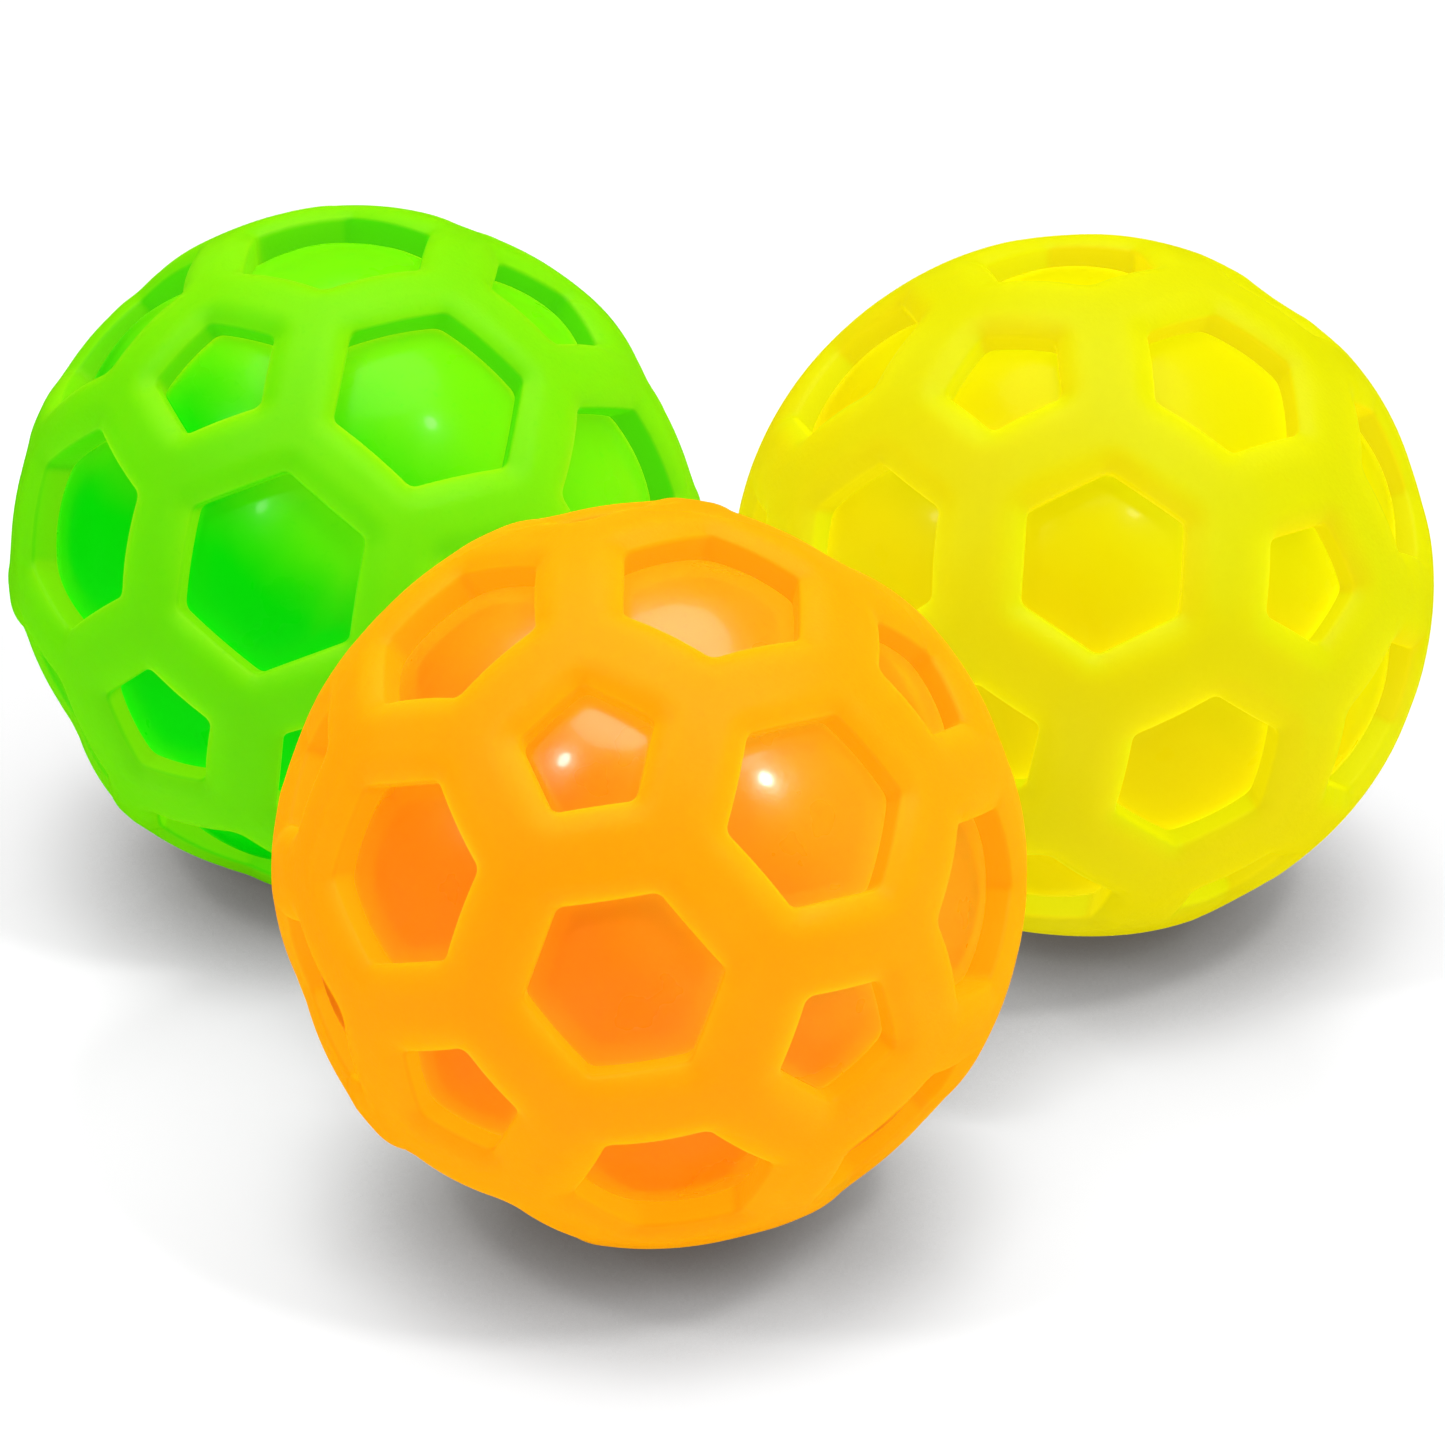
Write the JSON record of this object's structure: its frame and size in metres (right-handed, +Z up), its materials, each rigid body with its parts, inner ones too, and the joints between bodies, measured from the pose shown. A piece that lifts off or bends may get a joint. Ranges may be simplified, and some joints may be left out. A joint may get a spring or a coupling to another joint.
{
  "type": "reflex ball set",
  "caption": "Set of neon bouncy reflex balls, each a honeycomb rubber lattice over an inflated bladder whose skin domes into the windows.",
  "frame": {"origin": "on the floor, under the middle of the set's footprint", "axes": "+Z up; +X to the right with the orange ball nearest the viewer, who looks along +Y"},
  "size_m": [0.1284, 0.1216, 0.0627],
  "materials": {
    "orange_lattice": "satin translucent fluorescent orange elastomer, faintly mottled",
    "orange_skin": "glossy translucent orange rubber skin, deeper in colour than the ribs",
    "orange_plug": "matte orange rubber",
    "green_lattice": "satin translucent fluorescent green elastomer, faintly mottled",
    "green_skin": "glossy translucent green rubber skin, deeper in colour than the ribs",
    "green_plug": "matte green rubber",
    "yellow_lattice": "satin translucent fluorescent yellow elastomer, faintly mottled",
    "yellow_skin": "glossy translucent yellow rubber skin, deeper in colour than the ribs",
    "yellow_plug": "matte yellow rubber"
  },
  "bodies": {
    "orange_ball": {"orange_front_half_lattice": "orange_lattice", "orange_back_half_lattice": "orange_lattice", "orange_bladder": "orange_skin", "orange_fill_plug": "orange_plug"},
    "green_ball": {"green_front_half_lattice": "green_lattice", "green_back_half_lattice": "green_lattice", "green_bladder": "green_skin", "green_fill_plug": "green_plug"},
    "yellow_ball": {"yellow_front_half_lattice": "yellow_lattice", "yellow_back_half_lattice": "yellow_lattice", "yellow_bladder": "yellow_skin", "yellow_fill_plug": "yellow_plug"}
  },
  "joints": [
    {"name": "green_ball_slide", "type": "slide", "parent": "orange_ball", "child": "green_ball", "axis": [-0.4185, 0.9082, 0], "range_m": [0, 0.12]},
    {"name": "yellow_ball_slide", "type": "slide", "parent": "orange_ball", "child": "yellow_ball", "axis": [0.598, 0.8015, 0], "range_m": [0, 0.12]}
  ]
}
